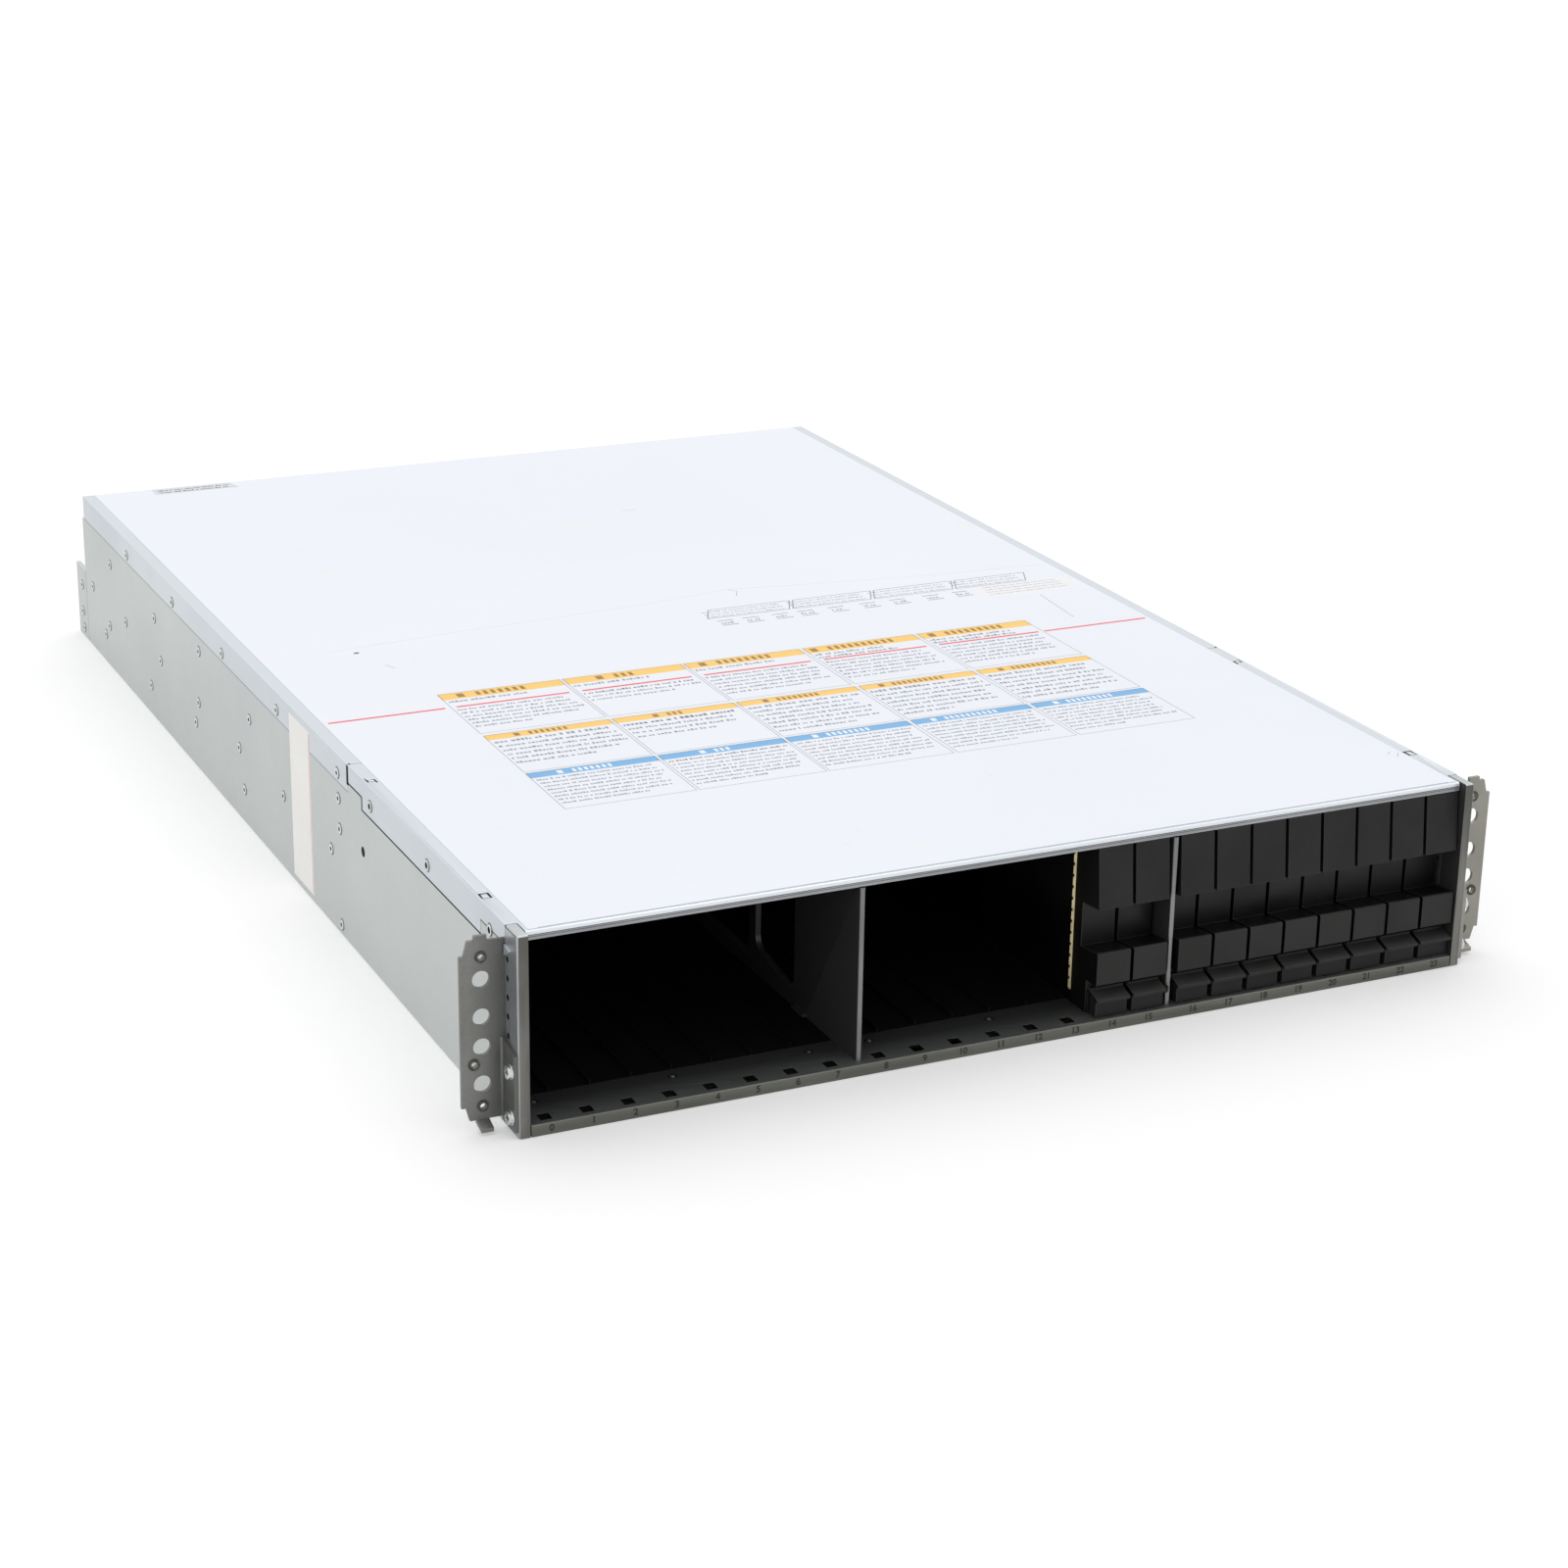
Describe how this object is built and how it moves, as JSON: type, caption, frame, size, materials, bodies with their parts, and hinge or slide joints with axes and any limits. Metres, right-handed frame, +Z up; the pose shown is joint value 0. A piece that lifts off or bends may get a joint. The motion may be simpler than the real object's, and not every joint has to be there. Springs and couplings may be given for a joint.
{
  "type": "disk shelf enclosure",
  "caption": "Two-unit rack enclosure for upright drives, with a white-topped steel case, rack ears, open bays, drive blanks and rear slide-in modules.",
  "frame": {"origin": "bottom centre of the whole enclosure: midway between the ears, and midway from the front face to the rear brackets' ends", "axes": "+X to the right seen from the front, +Y from the front to the rear, +Z up"},
  "size_m": [0.4826, 0.715, 0.086],
  "materials": {
    "plain_steel": "galvanised, satin",
    "sill_steel": "bare steel, dull",
    "ear_steel": "zinc with a warm grey tone, dull",
    "divider_steel": "bare steel, dull",
    "cover_steel": "galvanised, satin",
    "white_film": "white, satin",
    "seal_tape": "off-white, matt",
    "zinc_screw": "bright zinc",
    "black_plastic": "black, matt",
    "circuit_board": "green solder mask",
    "socket_plastic": "black, satin",
    "blank_plastic": "charcoal, fine grain",
    "spring_copper": "dull copper alloy",
    "lever_plastic": "dark blue-grey, satin"
  },
  "bodies": {
    "chassis": {"base_pan": "plain_steel", "floor_sill": "sill_steel", "left_side_plate": "plain_steel", "right_side_plate": "plain_steel", "left_front_post": "sill_steel", "right_front_post": "sill_steel", "left_rack_ear": "ear_steel", "right_rack_ear": "ear_steel", "left_divider": "divider_steel", "right_divider": "divider_steel", "front_top_cover": "cover_steel", "rear_top_cover": "cover_steel", "top_sheet": "white_film", "side_tape": "seal_tape", "ear_screws": "zinc_screw", "body_rivets": "zinc_screw", "drive_guides": "black_plastic", "midplane_board": "circuit_board", "midplane_sockets": "socket_plastic", "midplane_rails": "plain_steel", "mid_shelf": "plain_steel", "module_walls": "plain_steel", "left_rear_bracket": "plain_steel", "right_rear_bracket": "plain_steel"},
    "blank_14": {"drive_blank_14": "blank_plastic", "contact_spring_14": "spring_copper"},
    "blank_15": {"drive_blank_15": "blank_plastic", "contact_spring_15": "spring_copper"},
    "blank_16": {"drive_blank_16": "blank_plastic", "contact_spring_16": "spring_copper"},
    "blank_17": {"drive_blank_17": "blank_plastic", "contact_spring_17": "spring_copper"},
    "blank_18": {"drive_blank_18": "blank_plastic", "contact_spring_18": "spring_copper"},
    "blank_19": {"drive_blank_19": "blank_plastic", "contact_spring_19": "spring_copper"},
    "blank_20": {"drive_blank_20": "blank_plastic", "contact_spring_20": "spring_copper"},
    "blank_21": {"drive_blank_21": "blank_plastic", "contact_spring_21": "spring_copper"},
    "blank_22": {"drive_blank_22": "blank_plastic", "contact_spring_22": "spring_copper"},
    "blank_23": {"drive_blank_23": "blank_plastic", "contact_spring_23": "spring_copper"},
    "psu_lower": {"psu_lower_case": "plain_steel", "psu_lower_inlet": "black_plastic", "psu_lower_fan_frame": "black_plastic"},
    "psu_lower_fan": {"psu_lower_fan_rotor": "black_plastic"},
    "psu_lower_lever": {"psu_lower_lever": "lever_plastic"},
    "io_lower": {"io_lower_case": "plain_steel", "io_lower_board": "circuit_board"},
    "io_lower_lever": {"io_lower_lever": "lever_plastic"},
    "psu_upper": {"psu_upper_case": "plain_steel", "psu_upper_inlet": "black_plastic", "psu_upper_fan_frame": "black_plastic"},
    "psu_upper_fan": {"psu_upper_fan_rotor": "black_plastic"},
    "psu_upper_lever": {"psu_upper_lever": "lever_plastic"},
    "io_upper": {"io_upper_case": "plain_steel", "io_upper_board": "circuit_board"},
    "io_upper_lever": {"io_upper_lever": "lever_plastic"}
  },
  "joints": [
    {"name": "blank_14_slide", "type": "slide", "parent": "chassis", "child": "blank_14", "axis": [0, -1, 0], "range_m": [0, 0.105]},
    {"name": "blank_15_slide", "type": "slide", "parent": "chassis", "child": "blank_15", "axis": [0, -1, 0], "range_m": [0, 0.105]},
    {"name": "blank_16_slide", "type": "slide", "parent": "chassis", "child": "blank_16", "axis": [0, -1, 0], "range_m": [0, 0.105]},
    {"name": "blank_17_slide", "type": "slide", "parent": "chassis", "child": "blank_17", "axis": [0, -1, 0], "range_m": [0, 0.105]},
    {"name": "blank_18_slide", "type": "slide", "parent": "chassis", "child": "blank_18", "axis": [0, -1, 0], "range_m": [0, 0.105]},
    {"name": "blank_19_slide", "type": "slide", "parent": "chassis", "child": "blank_19", "axis": [0, -1, 0], "range_m": [0, 0.105]},
    {"name": "blank_20_slide", "type": "slide", "parent": "chassis", "child": "blank_20", "axis": [0, -1, 0], "range_m": [0, 0.105]},
    {"name": "blank_21_slide", "type": "slide", "parent": "chassis", "child": "blank_21", "axis": [0, -1, 0], "range_m": [0, 0.105]},
    {"name": "blank_22_slide", "type": "slide", "parent": "chassis", "child": "blank_22", "axis": [0, -1, 0], "range_m": [0, 0.105]},
    {"name": "blank_23_slide", "type": "slide", "parent": "chassis", "child": "blank_23", "axis": [0, -1, 0], "range_m": [0, 0.105]},
    {"name": "psu_lower_slide", "type": "slide", "parent": "chassis", "child": "psu_lower", "axis": [0, 1, 0], "range_m": [0, 0.48]},
    {"name": "psu_lower_fan_spin", "type": "hinge", "parent": "psu_lower", "child": "psu_lower_fan", "pos_m": [-0.1948, 0, 0.0213], "axis": [0, 1, 0], "continuous": true},
    {"name": "psu_lower_lever_pivot", "type": "hinge", "parent": "psu_lower", "child": "psu_lower_lever", "pos_m": [-0.1688, 0.3371, 0.0213], "axis": [0, 0, 1], "range_deg": [0, 80]},
    {"name": "io_lower_slide", "type": "slide", "parent": "chassis", "child": "io_lower", "axis": [0, 1, 0], "range_m": [0, 0.48]},
    {"name": "io_lower_lever_pivot", "type": "hinge", "parent": "io_lower", "child": "io_lower_lever", "pos_m": [0.105, 0.3371, 0.0213], "axis": [0, 0, 1], "range_deg": [0, 80]},
    {"name": "psu_upper_slide", "type": "slide", "parent": "chassis", "child": "psu_upper", "axis": [0, 1, 0], "range_m": [0, 0.48]},
    {"name": "psu_upper_fan_spin", "type": "hinge", "parent": "psu_upper", "child": "psu_upper_fan", "pos_m": [-0.1948, 0, 0.0643], "axis": [0, 1, 0], "continuous": true},
    {"name": "psu_upper_lever_pivot", "type": "hinge", "parent": "psu_upper", "child": "psu_upper_lever", "pos_m": [-0.1688, 0.3371, 0.0643], "axis": [0, 0, 1], "range_deg": [0, 80]},
    {"name": "io_upper_slide", "type": "slide", "parent": "chassis", "child": "io_upper", "axis": [0, 1, 0], "range_m": [0, 0.48]},
    {"name": "io_upper_lever_pivot", "type": "hinge", "parent": "io_upper", "child": "io_upper_lever", "pos_m": [0.105, 0.3371, 0.0643], "axis": [0, 0, 1], "range_deg": [0, 80]}
  ]
}
